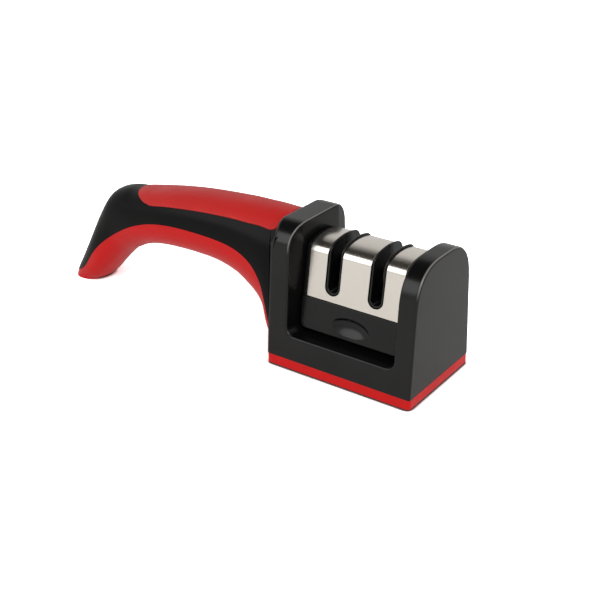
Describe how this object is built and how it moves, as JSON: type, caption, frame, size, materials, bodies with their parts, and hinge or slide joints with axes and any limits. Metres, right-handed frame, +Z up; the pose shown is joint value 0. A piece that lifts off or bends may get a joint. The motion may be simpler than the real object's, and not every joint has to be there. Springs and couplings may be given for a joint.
{
  "type": "knife sharpener",
  "caption": "Pull-through knife sharpener: housing with end walls, lift-out slotted cartridge under a bent steel cover, and a long hooked handle with a soft grip inlay.",
  "frame": {"origin": "middle of the rubber pad's underside, on the table", "axes": "+Z up; +X along the length, away from the handle; -Y towards the side shown in front"},
  "size_m": [0.2042, 0.0484, 0.0629],
  "materials": {
    "black_plastic": "fine-grained satin black moulding",
    "red_plastic": "smooth red moulding",
    "soft_red": "soft matt red grip",
    "pad_rubber": "matt black rubber",
    "cover_steel": "brushed along its length",
    "screw_steel": "plain screw steel",
    "carbide": "ground dark carbide",
    "rod_ceramic": "dull dark ceramic"
  },
  "bodies": {
    "body": {"body_shell": "black_plastic", "handle_under_cover": "red_plastic", "top_grip_inlay": "soft_red", "base_plate": "red_plastic", "non_slip_pad": "pad_rubber", "base_screw_1": "screw_steel", "base_screw_2": "screw_steel", "base_screw_3": "screw_steel", "base_screw_4": "screw_steel", "handle_screw_1": "screw_steel", "handle_screw_2": "screw_steel", "handle_screw_3": "screw_steel"},
    "cartridge": {"cartridge_front_half": "black_plastic", "cartridge_rear_half": "black_plastic", "steel_cover": "cover_steel", "carbide_blade_left": "carbide", "carbide_blade_right": "carbide", "ceramic_rod_left": "rod_ceramic", "ceramic_rod_right": "rod_ceramic", "cartridge_screw_1": "screw_steel", "cartridge_screw_2": "screw_steel", "cartridge_screw_3": "screw_steel"}
  },
  "joints": [
    {"name": "cartridge_lift", "type": "slide", "parent": "body", "child": "cartridge", "axis": [0, 0, 1], "range_m": [0, 0.055]}
  ]
}
